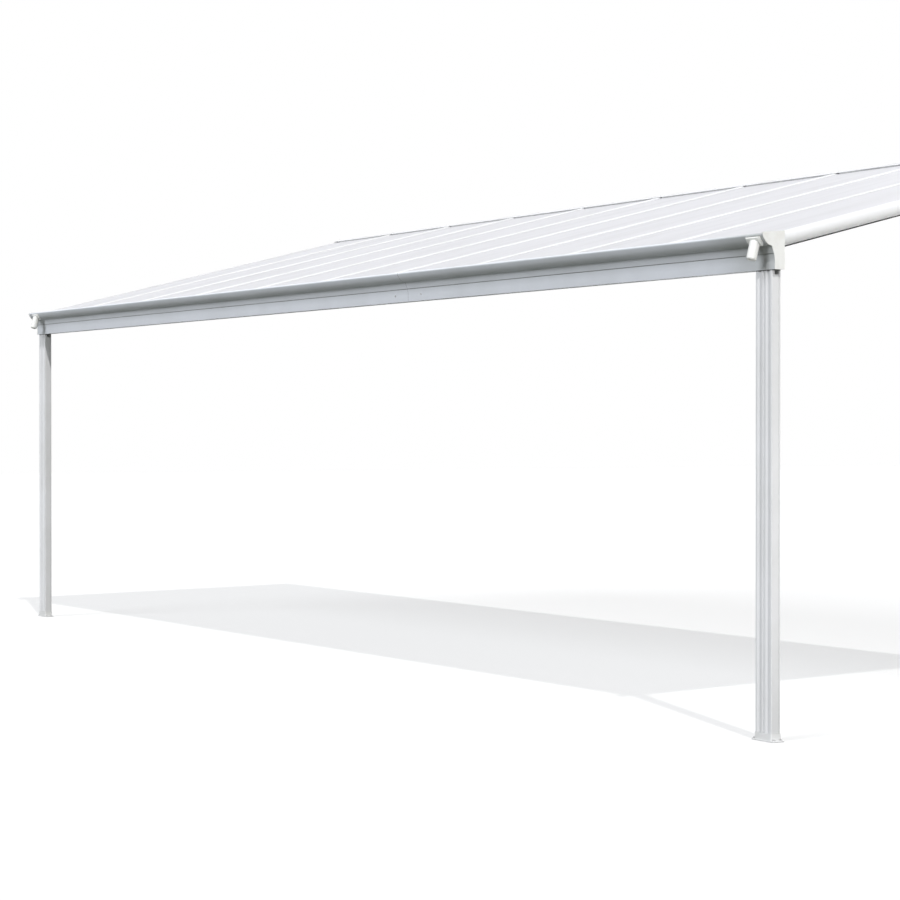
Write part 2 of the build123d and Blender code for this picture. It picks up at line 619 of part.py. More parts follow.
# Posts, with their top brackets and feet. Both wide faces have two broad flutes and a narrow
# one, and a notch for the fixing screws goes through both sides at the top.
POST_Y = LIP_Y + FASCIA_DEPTH + POST_DEPTH / 2
POST_TOP_Z = GUTTER_BOTTOM_Z - BRACKET_PLATE
POST_FOOT_Z = GROUND_Z + FOOT_PLATE
CAVITY_WIDTH = POST_WIDTH - 2 * POST_SIDE_SKIN
CAVITY_DEPTH = POST_DEPTH - 2 * POST_FACE_SKIN
FLUTES = (
    (-FLUTE_OFFSET, FLUTE_WIDTH, FLUTE_DEPTH),
    (0, MID_FLUTE_WIDTH, MID_FLUTE_DEPTH),
    (FLUTE_OFFSET, FLUTE_WIDTH, FLUTE_DEPTH),
)
for side, hand in (("left", -1), ("right", 1)):
    post_x = hand * (HALF - POST_INSET - POST_WIDTH / 2)
    notch_plane = Plane.YZ.offset(post_x)
    notch_y = POST_Y - POST_DEPTH / 2 + NOTCH_FROM_FRONT
    with BuildPart() as post:
        with BuildSketch(Plane.XY.offset(POST_FOOT_Z)):
            with Locations((post_x, POST_Y)):
                RectangleRounded(POST_WIDTH, POST_DEPTH, POST_CORNER)
            for face in (-1, 1):
                for offset_x, width, depth in FLUTES:
                    radius = (width**2 / 4 + depth**2) / (2 * depth)
                    flute_y = POST_Y + face * (POST_DEPTH / 2 + radius - depth)
                    with Locations((post_x + offset_x, flute_y)):
                        Circle(radius, mode=Mode.SUBTRACT)
                line_x = post_x + face * (POST_WIDTH - SIDE_LINE_DEPTH) / 2
                with Locations((line_x, POST_Y - POST_DEPTH / 2 + SIDE_LINE_FROM_FRONT)):
                    Rectangle(SIDE_LINE_DEPTH, SIDE_LINE_WIDTH, mode=Mode.SUBTRACT)
            with Locations((post_x, POST_Y)):
                Rectangle(CAVITY_WIDTH, CAVITY_DEPTH, mode=Mode.SUBTRACT)
        extrude(amount=POST_TOP_Z - POST_FOOT_Z)
        with BuildSketch(notch_plane):
            with Locations((notch_y, POST_TOP_Z - NOTCH_HEIGHT / 2)):
                Rectangle(NOTCH_WIDTH, NOTCH_HEIGHT)
        extrude(amount=POST_WIDTH, both=True, mode=Mode.SUBTRACT)
    save(post, "post_" + side)

    with BuildPart() as bracket:
        with BuildSketch(Plane.XY.offset(POST_TOP_Z)):
            with Locations((post_x, POST_Y)):
                Rectangle(CAVITY_WIDTH - 2 * FIT, CAVITY_DEPTH - 2 * FIT)
                Rectangle(
                    CAVITY_WIDTH - 2 * FIT - 2 * SPIGOT_SKIN,
                    CAVITY_DEPTH - 2 * FIT - 2 * SPIGOT_SKIN,
                    mode=Mode.SUBTRACT,
                )
        extrude(amount=-SPIGOT_LENGTH)
        with BuildSketch(notch_plane):
            with Locations((notch_y, POST_TOP_Z - NOTCH_HEIGHT / 2)):
                Rectangle(NOTCH_WIDTH, NOTCH_HEIGHT)
        extrude(amount=POST_WIDTH, both=True, mode=Mode.SUBTRACT)
        with BuildSketch(Plane.XY.offset(POST_TOP_Z)):
            with Locations((post_x, POST_Y)):
                Rectangle(POST_WIDTH - 2 * BRACKET_INSET, POST_DEPTH - 2 * BRACKET_INSET)
        extrude(amount=BRACKET_PLATE)
    save(bracket, "post_top_bracket_" + side)

    with BuildPart() as foot:
        with BuildSketch(Plane.XY.offset(GROUND_Z)):
            with Locations((post_x, POST_Y)):
                RectangleRounded(FOOT_WIDTH, FOOT_DEPTH, FOOT_CORNER)
        extrude(amount=FOOT_PLATE)
        chamfer(foot.faces().sort_by(Axis.Z)[-1].edges(), length=FOOT_BEVEL)
        with BuildSketch(Plane.XY.offset(POST_FOOT_Z)):
            with Locations((post_x, POST_Y)):
                RectangleRounded(
                    POST_WIDTH + 2 * FIT + 2 * SOCKET_SKIN,
                    POST_DEPTH + 2 * FIT + 2 * SOCKET_SKIN,
                    POST_CORNER + FIT + SOCKET_SKIN,
                )
        extrude(amount=SOCKET_HEIGHT, taper=SOCKET_TAPER)
        with BuildSketch(Plane.XY.offset(POST_FOOT_Z)):
            with Locations((post_x, POST_Y)):
                RectangleRounded(POST_WIDTH + 2 * FIT, POST_DEPTH + 2 * FIT, POST_CORNER + FIT)
        extrude(amount=SOCKET_HEIGHT, mode=Mode.SUBTRACT)
        with BuildSketch(Plane.XY.offset(GROUND_Z)):
            with Locations((post_x, POST_Y)):
                with GridLocations(BOLT_SPACING_X, BOLT_SPACING_Y, 2, 2):
                    Circle(BOLT_RADIUS)
        extrude(amount=FOOT_PLATE, mode=Mode.SUBTRACT)
    save(foot, "post_foot_" + side)

print("length", 2 * HALF, "projection", PROJECTION, "gutter underside above ground", CLEARANCE)
print("rail centre above ground", -GROUND_Z, "lip above ground", LIP_Z - GROUND_Z)
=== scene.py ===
import json
from math import cos, pi, radians, sin

import bmesh
import bpy
from mathutils import Euler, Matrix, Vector


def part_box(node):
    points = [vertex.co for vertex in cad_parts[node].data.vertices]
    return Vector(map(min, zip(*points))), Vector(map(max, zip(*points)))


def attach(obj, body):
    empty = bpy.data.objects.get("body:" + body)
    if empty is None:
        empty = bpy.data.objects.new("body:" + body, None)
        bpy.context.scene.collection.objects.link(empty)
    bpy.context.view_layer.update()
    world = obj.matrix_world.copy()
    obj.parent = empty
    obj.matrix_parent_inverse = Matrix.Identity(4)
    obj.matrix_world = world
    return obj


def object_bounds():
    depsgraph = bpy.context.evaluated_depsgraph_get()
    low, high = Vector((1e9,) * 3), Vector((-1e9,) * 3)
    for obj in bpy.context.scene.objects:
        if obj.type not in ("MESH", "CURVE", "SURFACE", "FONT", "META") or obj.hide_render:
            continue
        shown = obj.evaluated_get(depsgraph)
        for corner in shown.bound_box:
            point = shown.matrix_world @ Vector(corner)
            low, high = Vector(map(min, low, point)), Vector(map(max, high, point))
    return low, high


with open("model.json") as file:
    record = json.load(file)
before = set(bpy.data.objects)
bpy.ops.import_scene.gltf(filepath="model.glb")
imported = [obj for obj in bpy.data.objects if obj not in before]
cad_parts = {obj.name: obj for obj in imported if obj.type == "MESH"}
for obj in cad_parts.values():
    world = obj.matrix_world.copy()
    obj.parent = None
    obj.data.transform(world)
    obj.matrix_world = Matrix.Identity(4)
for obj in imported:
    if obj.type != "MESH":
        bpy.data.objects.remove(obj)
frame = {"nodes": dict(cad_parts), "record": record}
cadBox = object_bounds()
nodes = frame["nodes"]
mounts = {mount["name"]: mount for mount in frame["record"]["mounts"]}
sides = ("left", "right")
mmPerMetre = 1000
bpy.context.scene.view_settings.view_transform = "Standard"
print("frame loaded:", len(nodes), "nodes")


# Node helpers for materials
def newMaterial(name):
    material = bpy.data.materials.new(name)
    material.use_nodes = True
    tree = material.node_tree
    shader = next(node for node in tree.nodes if node.type == "BSDF_PRINCIPLED")
    return material, tree, shader


def addNode(tree, kind, **settings):
    node = tree.nodes.new(kind)
    for key, value in settings.items():
        setattr(node, key, value)
    return node


def stretchedCoords(tree, scale):
    # object coordinates in metres, stretched so that a pattern can run along one direction
    coords = addNode(tree, "ShaderNodeTexCoord")
    mapping = addNode(tree, "ShaderNodeMapping")
    mapping.inputs["Scale"].default_value = scale
    tree.links.new(coords.outputs["Object"], mapping.inputs["Vector"])
    return mapping.outputs["Vector"]


def noise(tree, vector, scale, detail, roughness=0.5):
    node = addNode(tree, "ShaderNodeTexNoise")
    node.inputs["Scale"].default_value = scale
    node.inputs["Detail"].default_value = detail
    node.inputs["Roughness"].default_value = roughness
    tree.links.new(vector, node.inputs["Vector"])
    return node.outputs["Fac"]


def ramp(tree, factor, low, high, start=0.35, end=0.65):
    node = addNode(tree, "ShaderNodeValToRGB")
    node.color_ramp.elements[0].position = start
    node.color_ramp.elements[0].color = (*low, 1)
    node.color_ramp.elements[1].position = end
    node.color_ramp.elements[1].color = (*high, 1)
    tree.links.new(factor, node.inputs["Fac"])
    return node.outputs["Color"]


def spread(tree, factor, low, high):
    node = addNode(tree, "ShaderNodeMapRange")
    node.inputs["To Min"].default_value = low
    node.inputs["To Max"].default_value = high
    tree.links.new(factor, node.inputs["Value"])
    return node.outputs["Result"]


def blendColours(tree, factor, first, second):
    node = addNode(tree, "ShaderNodeMix", data_type="RGBA")
    tree.links.new(factor, node.inputs["Factor"])
    colours = [socket for socket in node.inputs if socket.type == "RGBA"]
    tree.links.new(first, colours[0])
    colours[1].default_value = (*second, 1)
    return next(socket for socket in node.outputs if socket.type == "RGBA")


def product(tree, first, second):
    node = addNode(tree, "ShaderNodeMath", operation="MULTIPLY")
    tree.links.new(first, node.inputs[0])
    if isinstance(second, float):
        node.inputs[1].default_value = second
    else:
        tree.links.new(second, node.inputs[1])
    return node.outputs[0]


def nearPlace(tree, place, inner, outer):
    # 1 within the inner distance of a place, falling to 0 at the outer one
    coords = addNode(tree, "ShaderNodeTexCoord")
    away = addNode(tree, "ShaderNodeVectorMath", operation="DISTANCE")
    away.inputs[1].default_value = place
    tree.links.new(coords.outputs["Object"], away.inputs[0])
    fall = addNode(tree, "ShaderNodeMapRange", interpolation_type="SMOOTHSTEP")
    fall.inputs["From Min"].default_value = outer
    fall.inputs["From Max"].default_value = inner
    tree.links.new(away.outputs["Value"], fall.inputs["Value"])
    return fall.outputs["Result"]


def bump(tree, shader, height, strength, distance, under=None):
    node = addNode(tree, "ShaderNodeBump")
    node.inputs["Strength"].default_value = strength
    node.inputs["Distance"].default_value = distance
    tree.links.new(height, node.inputs["Height"])
    if under is not None:
        tree.links.new(under, node.inputs["Normal"])
    tree.links.new(node.outputs["Normal"], shader.inputs["Normal"])
    return node.outputs["Normal"]


# Painted shade in grooves and corners, from ambient occlusion: how much of its surroundings is free at
# an open face, and deep in a groove
crevice = {"open": 0.80, "deep": 0.25, "samples": 6}


def crevices(tree, reach):
    # 1 deep in a groove or a corner, 0 on an open face: where the painted shade goes
    shelter = addNode(tree, "ShaderNodeAmbientOcclusion", samples=crevice["samples"])
    shelter.inputs["Distance"].default_value = reach
    depth = addNode(tree, "ShaderNodeMapRange")
    depth.inputs["From Min"].default_value = crevice["open"]
    depth.inputs["From Max"].default_value = crevice["deep"]
    tree.links.new(shelter.outputs["AO"], depth.inputs["Value"])
    return depth.outputs["Result"]


# Powder-coated aluminium: fine orange peel over drawn lines that run along the profile, with
# clouds of dust, painted shade in the grooves and painted shade round the gutter's outlets
powderCoat = {
    "frame": {"clean": (0.84, 0.84, 0.85), "dusty": (0.77, 0.77, 0.76), "along": "y",
              "roughness": 0.42, "creviceShadeAmount": 0.20},
    "gutter": {"clean": (0.83, 0.85, 0.90), "dusty": (0.77, 0.79, 0.83), "along": "x",
               "roughness": 0.50, "creviceShadeAmount": 0.80},
    "post": {"clean": (0.80, 0.80, 0.815), "dusty": (0.74, 0.74, 0.745), "along": "z",
             "roughness": 0.40, "creviceShadeAmount": 0.60},
    "bracket": {"clean": (0.83, 0.83, 0.84), "dusty": (0.70, 0.70, 0.69), "along": "z",
                "roughness": 0.46, "creviceShadeAmount": 0.50},
    "reflectivity": 0.12,
    "dustPerMetre": 2.2,
    "dustFrom": 0.30,
    "dustTo": 0.56,
    "dustRoughens": 0.12,
    "cleanSmooths": 0.04,
    # colour of the painted shade in grooves and corners
    "creviceShade": (0.20, 0.20, 0.17),
    "creviceShadeReach": 0.010,
    # painted shade with a greenish painted reflection round the outlets, far stronger at the right one
    "outletShade": (0.30, 0.31, 0.27),
    "outletShadeReach": (0.0, 0.50),
    "outletShadeRise": 0.07,
    "outletShadePatches": (1.3, 0.5),
    "outletShadeAmount": {"left": 0.12, "right": 0.58},
    "linesPerMetre": 420.0,
    "linesAlong": {"x": (0.004, 1, 1), "y": (1, 0.004, 0.03), "z": (1, 1, 0.004)},
    "lineDepth": 0.00004,
    "lineStrength": 0.35,
    "peelPerMetre": 900.0,
    "peelDepth": 0.00003,
    "peelStrength": 0.3,
}


def paintOutletShade(tree, side, dust, colour):
    # painted shade with a greenish painted reflection on the gutter, round the root of an outlet
    outlet = mounts["spout_mouth_" + side]
    root = Vector(outlet["pos_m"]) - Vector(outlet["axis"]) * powderCoat["outletShadeRise"]
    outletShade = nearPlace(tree, root, *powderCoat["outletShadeReach"])
    patchy = product(tree, outletShade, spread(tree, dust, *powderCoat["outletShadePatches"]))
    amount = product(tree, patchy, powderCoat["outletShadeAmount"][side])
    return blendColours(tree, amount, colour, powderCoat["outletShade"])


def powderCoatMaterial(slot):
    look = powderCoat[slot]
    material, tree, shader = newMaterial("powderCoat_" + slot)
    plain = stretchedCoords(tree, (1, 1, 1))
    drawn = stretchedCoords(tree, powderCoat["linesAlong"][look["along"]])
    dust = noise(tree, plain, powderCoat["dustPerMetre"], detail=6.0, roughness=0.62)
    colour = ramp(tree, dust, look["dusty"], look["clean"], powderCoat["dustFrom"], powderCoat["dustTo"])
    # painted shade round each outlet of the gutter
    if slot == "gutter":
        for side in sides:
            colour = paintOutletShade(tree, side, dust, colour)
    # painted shade: grooves and corners darkened by how enclosed they are
    creviceShade = product(tree, crevices(tree, powderCoat["creviceShadeReach"]), look["creviceShadeAmount"])
    tree.links.new(blendColours(tree, creviceShade, colour, powderCoat["creviceShade"]), shader.inputs["Base Color"])
    shader.inputs["Specular IOR Level"].default_value = powderCoat["reflectivity"]
    dull = look["roughness"] + powderCoat["dustRoughens"]
    smooth = look["roughness"] - powderCoat["cleanSmooths"]
    tree.links.new(spread(tree, dust, dull, smooth), shader.inputs["Roughness"])
    lines = noise(tree, drawn, powderCoat["linesPerMetre"], detail=2.0)
    peel = noise(tree, plain, powderCoat["peelPerMetre"], detail=2.0)
    under = bump(tree, shader, lines, powderCoat["lineStrength"], powderCoat["lineDepth"])
    bump(tree, shader, peel, powderCoat["peelStrength"], powderCoat["peelDepth"], under)
    return material


# Moulded white plastic of the end caps, outlet stubs and plugs
mouldedPlastic = {
    "clean": (0.88, 0.88, 0.86),
    "worn": (0.80, 0.79, 0.76),
    "cloudsPerMetre": 9.0,
    "wornUpTo": 0.28,
    "cleanFrom": 0.52,
    "roughness": (0.48, 0.34),
    "glowWithin": 0.06,
    "glowReach": (0.004, 0.004, 0.0035),
    "texturePerMetre": 1400.0,
    "textureDepth": 0.00003,
}


def mouldedPlasticMaterial():
    look = mouldedPlastic
    material, tree, shader = newMaterial("mouldedWhitePlastic")
    plain = stretchedCoords(tree, (1, 1, 1))
    cloud = noise(tree, plain, look["cloudsPerMetre"], detail=5.0, roughness=0.6)
    texture = noise(tree, plain, look["texturePerMetre"], detail=1.0)
    colour = ramp(tree, cloud, look["worn"], look["clean"], look["wornUpTo"], look["cleanFrom"])
    tree.links.new(colour, shader.inputs["Base Color"])
    tree.links.new(spread(tree, cloud, *look["roughness"]), shader.inputs["Roughness"])
    shader.inputs["Subsurface Weight"].default_value = look["glowWithin"]
    shader.inputs["Subsurface Radius"].default_value = look["glowReach"]
    bump(tree, shader, texture, strength=0.25, distance=look["textureDepth"])
    return material


# Rubber of the seals: dark under the side beams, where the dark seal is partly a real seal and partly
# painted shade under the beam's curled face, bleached pale by the sun along the wall
rubberSeal = {
    "dark": {"fresh": (0.035, 0.035, 0.038), "chalky": (0.085, 0.085, 0.084)},
    "bleached": {"fresh": (0.30, 0.30, 0.305), "chalky": (0.42, 0.42, 0.42)},
    "chalkPerMetre": 30.0,
    "roughness": (0.62, 0.82),
    "skinPerMetre": 900.0,
    "skinDepth": 0.00005,
}


def rubberMaterial(kind):
    look = rubberSeal[kind]
    material, tree, shader = newMaterial("rubberSeal_" + kind)
    plain = stretchedCoords(tree, (1, 1, 1))
    chalk = noise(tree, plain, rubberSeal["chalkPerMetre"], detail=5.0, roughness=0.6)
    skin = noise(tree, plain, rubberSeal["skinPerMetre"], detail=2.0)
    tree.links.new(ramp(tree, chalk, look["fresh"], look["chalky"]), shader.inputs["Base Color"])
    tree.links.new(spread(tree, chalk, *rubberSeal["roughness"]), shader.inputs["Roughness"])
    bump(tree, shader, skin, strength=0.4, distance=rubberSeal["skinDepth"])
    return material


# Translucent twin-wall sheet: cells run down the slope, so fine lines and dust streaks do too
twinWall = {
    "clean": (0.74, 0.735, 0.77),
    "dusty": (0.68, 0.675, 0.70),
    "streaksPerMetre": 5.0,
    "streaksAlong": (1, 0.16, 0.16),
    "dustyUpTo": 0.30,
    "cleanFrom": 0.55,
    "roughness": (0.44, 0.30),
    "throughLight": 0.22,
    "refraction": 1.5,
    "cellWidth": 0.016,
    "cellDepth": 0.00006,
}
waveRadiansPerMetre = 20  # of Blender's wave texture, at scale 1


def twinWallMaterial():
    look = twinWall
    material, tree, shader = newMaterial("twinWallSheet")
    plain = stretchedCoords(tree, (1, 1, 1))
    along = stretchedCoords(tree, look["streaksAlong"])
    streaks = noise(tree, along, look["streaksPerMetre"], detail=6.0, roughness=0.6)
    colour = ramp(tree, streaks, look["dusty"], look["clean"], look["dustyUpTo"], look["cleanFrom"])
    cells = addNode(tree, "ShaderNodeTexWave", wave_type="BANDS", bands_direction="X",
                    wave_profile="SIN")
    cells.inputs["Scale"].default_value = 2 * pi / waveRadiansPerMetre / look["cellWidth"]
    cells.inputs["Distortion"].default_value = 0.0
    tree.links.new(plain, cells.inputs["Vector"])
    tree.links.new(colour, shader.inputs["Base Color"])
    tree.links.new(spread(tree, streaks, *look["roughness"]), shader.inputs["Roughness"])
    shader.inputs["Transmission Weight"].default_value = look["throughLight"]
    shader.inputs["IOR"].default_value = look["refraction"]
    bump(tree, shader, cells.outputs["Fac"], strength=0.25, distance=look["cellDepth"])
    return material


# Zinc-plated steel of the screws
zincPlate = {
    "dull": (0.42, 0.42, 0.43),
    "bright": (0.62, 0.62, 0.62),
    "spotsPerMetre": 260.0,
    "roughness": (0.46, 0.30),
    "spotDepth": 0.00004,
}


def zincPlateMaterial():
    material, tree, shader = newMaterial("zincPlatedSteel")
    plain = stretchedCoords(tree, (1, 1, 1))
    spots = noise(tree, plain, zincPlate["spotsPerMetre"], detail=4.0, roughness=0.6)
    colour = ramp(tree, spots, zincPlate["dull"], zincPlate["bright"])
    tree.links.new(colour, shader.inputs["Base Color"])
    shader.inputs["Metallic"].default_value = 1.0
    tree.links.new(spread(tree, spots, *zincPlate["roughness"]), shader.inputs["Roughness"])
    bump(tree, shader, spots, strength=0.15, distance=zincPlate["spotDepth"])
    return material


slotMaterials = {slot: powderCoatMaterial(slot) for slot in ("frame", "gutter", "post", "bracket")}
slotMaterials["white_plastic"] = mouldedPlasticMaterial()
slotMaterials["seal"] = rubberMaterial("dark")
slotMaterials["panel"] = twinWallMaterial()
steel = zincPlateMaterial()

for part in frame["record"]["subparts"]:
    node = nodes[part["node"]]
    node.data.materials.clear()
    node.data.materials.append(slotMaterials[part["material_slot"]])
nodes["wall_seal"].data.materials[0] = rubberMaterial("bleached")
print("materials set")


# Geometry Nodes helpers
def newTree(name, inputs):
    tree = bpy.data.node_groups.new(name, "GeometryNodeTree")
    tree.interface.new_socket("Geometry", in_out="INPUT", socket_type="NodeSocketGeometry")
    ids = {}
    for label, kind in inputs:
        ids[label] = tree.interface.new_socket(label, in_out="INPUT", socket_type=kind).identifier
    tree.interface.new_socket("Geometry", in_out="OUTPUT", socket_type="NodeSocketGeometry")
    return tree, ids, tree.nodes.new("NodeGroupInput"), tree.nodes.new("NodeGroupOutput")


def raised(tree, geometry, height):
    up = addNode(tree, "ShaderNodeCombineXYZ")
    move = addNode(tree, "GeometryNodeTransform")
    tree.links.new(height, up.inputs["Z"])
    tree.links.new(up.outputs[0], move.inputs["Translation"])
    tree.links.new(geometry, move.inputs["Geometry"])
    return move.outputs[0]


def putOnPoints(tree, given, result, shape, turn):
    # the shape on every point, turned, then made real and given its material
    link = tree.links.new
    points = addNode(tree, "GeometryNodeMeshToPoints")
    place = addNode(tree, "GeometryNodeInstanceOnPoints")
    realize = addNode(tree, "GeometryNodeRealizeInstances")
    finish = addNode(tree, "GeometryNodeSetMaterial")
    link(given.outputs["Geometry"], points.inputs["Mesh"])
    link(points.outputs[0], place.inputs["Points"])
    link(shape, place.inputs["Instance"])
    link(given.outputs[turn], place.inputs["Rotation"])
    link(place.outputs[0], realize.inputs[0])
    link(realize.outputs[0], finish.inputs["Geometry"])
    link(given.outputs["Material"], finish.inputs["Material"])
    link(finish.outputs[0], result.inputs[0])


def pointCloud(name, places):
    mesh = bpy.data.meshes.new(name)
    mesh.from_pydata([tuple(place) for place in places], [], [])
    thing = bpy.data.objects.new(name, mesh)
    bpy.context.scene.collection.objects.link(thing)
    return thing


def bakeTree(thing, tree, ids, values, material):
    modifier = thing.modifiers.new(tree.name, "NODES")
    modifier.node_group = tree
    for label, value in values.items():
        modifier[ids[label]] = value
    modifier[ids["Material"]] = material
    bpy.context.view_layer.update()
    evaluated = thing.evaluated_get(bpy.context.evaluated_depsgraph_get())
    mesh = bpy.data.meshes.new_from_object(evaluated)
    thing.modifiers.remove(modifier)
    mesh.name = thing.name
    thing.data = mesh
    if not mesh.materials:
        mesh.materials.append(material)
    return thing


# A screw: a washer with a six-sided head on it, made once and put on points
screwShape = {"washerSides": 24, "headSides": 6, "headTaper": 0.94}
screwTreeInputs = [
    ("Washer radius", "NodeSocketFloat"),
    ("Washer thickness", "NodeSocketFloat"),
    ("Head radius", "NodeSocketFloat"),
    ("Head height", "NodeSocketFloat"),
    ("Turn", "NodeSocketRotation"),
    ("Material", "NodeSocketMaterial"),
]


def buildScrewTree():
    tree, ids, given, result = newTree("screwsOnPoints", screwTreeInputs)
    link = tree.links.new
    washer = addNode(tree, "GeometryNodeMeshCylinder", fill_type="NGON")
    washer.inputs["Vertices"].default_value = screwShape["washerSides"]
    link(given.outputs["Washer radius"], washer.inputs["Radius"])
    link(given.outputs["Washer thickness"], washer.inputs["Depth"])
    head = addNode(tree, "GeometryNodeMeshCone", fill_type="NGON")
    head.inputs["Vertices"].default_value = screwShape["headSides"]
    link(product(tree, given.outputs["Head radius"], screwShape["headTaper"]), head.inputs["Radius Top"])
    link(given.outputs["Head radius"], head.inputs["Radius Bottom"])
    link(given.outputs["Head height"], head.inputs["Depth"])
    halfWasher = product(tree, given.outputs["Washer thickness"], 0.5)
    screw = addNode(tree, "GeometryNodeJoinGeometry")
    link(raised(tree, washer.outputs["Mesh"], halfWasher), screw.inputs[0])
    link(raised(tree, head.outputs["Mesh"], given.outputs["Washer thickness"]), screw.inputs[0])
    putOnPoints(tree, given, result, screw.outputs[0], "Turn")
    return tree, ids


screwTree, screwIds = buildScrewTree()


def screws(name, places, axis, size):
    turn = Vector((0, 0, 1)).rotation_difference(Vector(axis)).to_euler()
    thing = bakeTree(pointCloud(name, places), screwTree, screwIds, {
        "Washer radius": size["washerRadius"],
        "Washer thickness": size["washerThickness"],
        "Head radius": size["headRadius"],
        "Head height": size["headHeight"],
        "Turn": turn,
    }, steel)
    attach(thing, "root")


wallScrews = {
    "washerRadius": 0.0085,
    "washerThickness": 0.0015,
    "headRadius": 0.0062,
    "headHeight": 0.005,
    "plate": 0.003,
}


def placesOfWallScrews():
    places = []
    for name, mount in mounts.items():
        if name.startswith("wall_screws"):
            x, y, z = mount["pos_m"]
            half = mount["dims"]["spacing_x_mm"] / 2 / mmPerMetre
            places += [(x + side * half, y - wallScrews["plate"], z) for side in (-1, 1)]
    return places


footScrews = {
    "washerRadius": 0.008,
    "washerThickness": 0.0012,
    "headRadius": 0.0058,
    "headHeight": 0.005,
    "plate": 0.005,
}


def placesOfFootScrews():
    places = []
    for side in sides:
        mount = mounts["foot_bolts_" + side]
        x, y, z = mount["pos_m"]
        for across in (-0.5, 0.5):
            for deep in (-0.5, 0.5):
                places.append((x + across * mount["dims"]["spacing_x_mm"] / mmPerMetre,
                               y + deep * mount["dims"]["spacing_y_mm"] / mmPerMetre,
                               z + footScrews["plate"]))
    return places


seamScrews = {
    "washerRadius": 0.0055,
    "washerThickness": 0.001,
    "headRadius": 0.0045,
    "headHeight": 0.0035,
    "fromSeam": 0.141,
    "fasciaBack": 0.068,
    "aboveBottom": 0.036,
}


def placesOfSeamScrews():
    # through the fascia into the sleeve behind it, one on each side of the seam
    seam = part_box("gutter_right")[0][0]
    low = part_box("gutter_right")[0]
    return [(seam + side * seamScrews["fromSeam"], low[1] + seamScrews["fasciaBack"],
             low[2] + seamScrews["aboveBottom"]) for side in (-1, 1)]


screws("wall_rail_screws", placesOfWallScrews(), (0, -1, 0), wallScrews)
screws("foot_screws", placesOfFootScrews(), (0, 0, 1), footScrews)
screws("seam_screws", placesOfSeamScrews(), (0, -1, 0), seamScrews)
print("screws made")


# Twin-wall sheets: upright webs between the two skins, at the width of a cell
webs = {"thickness": 0.0006, "skin": 0.0007, "endGap": 0.003, "sideGap": 0.004, "edgeSlack": 0.0005}
webTreeInputs = [
    ("Length", "NodeSocketFloat"),
    ("Height", "NodeSocketFloat"),
    ("Thickness", "NodeSocketFloat"),
    ("Slope", "NodeSocketRotation"),
    ("Material", "NodeSocketMaterial"),
]


def buildWebTree():
    tree, ids, given, result = newTree("websOnPoints", webTreeInputs)
    link = tree.links.new
    size = addNode(tree, "ShaderNodeCombineXYZ")
    link(given.outputs["Thickness"], size.inputs["X"])
    link(given.outputs["Length"], size.inputs["Y"])
    link(given.outputs["Height"], size.inputs["Z"])
    web = addNode(tree, "GeometryNodeMeshCube")
    link(size.outputs[0], web.inputs["Size"])
    putOnPoints(tree, given, result, web.outputs["Mesh"], "Slope")
    return tree, ids


def sheetLie(node):
    # where a sloping sheet lies: its underside's front edge, the run to its back edge, the
    # direction square to it, and its thickness
    corners = [vertex.co for vertex in node.data.vertices]
    front = min(corners, key=lambda corner: corner.z)
    furthest = max(corner.y for corner in corners)
    backEdge = [corner for corner in corners if corner.y > furthest - webs["edgeSlack"]]
    back = min(backEdge, key=lambda corner: corner.z)
    top = max(corners, key=lambda corner: corner.z)
    run = Vector((0, back.y - front.y, back.z - front.z))
    normal = Vector((0, -run.z, run.y)).normalized()
    return front, run, normal, (top - front).dot(normal)


def buildPanelWebs():
    names = [name for name in nodes if name.startswith("roof_panel_")]
    front, run, normal, thickness = sheetLie(nodes[names[0]])
    middle = front + run / 2 + normal * thickness / 2
    pitch = twinWall["cellWidth"]
    places = []
    for name in names:
        low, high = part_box(name)
        count = int((high[0] - low[0] - 2 * webs["sideGap"]) / pitch)
        first = (low[0] + high[0] - count * pitch) / 2
        places += [(first + step * pitch, middle.y, middle.z) for step in range(count + 1)]
    tree, ids = buildWebTree()
    thing = bakeTree(pointCloud("panel_webs", places), tree, ids, {
        "Length": run.length - 2 * webs["endGap"],
        "Height": thickness - 2 * webs["skin"],
        "Thickness": webs["thickness"],
        "Slope": Vector((0, 1, 0)).rotation_difference(run).to_euler(),
    }, slotMaterials["panel"])
    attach(thing, "root")
    print("panel webs:", len(places))


buildPanelWebs()


def finishShape(shape, name, material):
    bmesh.ops.recalc_face_normals(shape, faces=shape.faces)
    mesh = bpy.data.meshes.new(name)
    shape.to_mesh(mesh)
    shape.free()
    mesh.materials.append(material)
    piece = bpy.data.objects.new(name, mesh)
    bpy.context.scene.collection.objects.link(piece)
    return piece


# Domed push-in plugs that close the outlet stubs
plug = {
    "overBore": 0.0022,
    "dome": 0.009,
    "neck": 0.012,
    "neckPlay": 0.0004,
    "offMouth": 0.0002,
    "rim": 0.0015,
    "steps": 40,
    "rings": 7,
    "sharpAbove": 40,
    "weld": 0.00001,
}


def plugProfile(bore):
    # from the neck's inner end out to the top of the dome, as radius and height
    neck = bore - plug["neckPlay"]
    rim = bore + plug["overBore"]
    profile = [(0.0, -plug["neck"]), (neck, -plug["neck"]), (neck, plug["offMouth"]),
               (rim, plug["offMouth"]), (rim, plug["rim"])]
    for ring in range(1, plug["rings"]):
        angle = pi / 2 * ring / plug["rings"]
        profile.append((rim * cos(angle), plug["rim"] + (plug["dome"] - plug["rim"]) * sin(angle)))
    profile.append((0.0, plug["dome"]))
    return profile


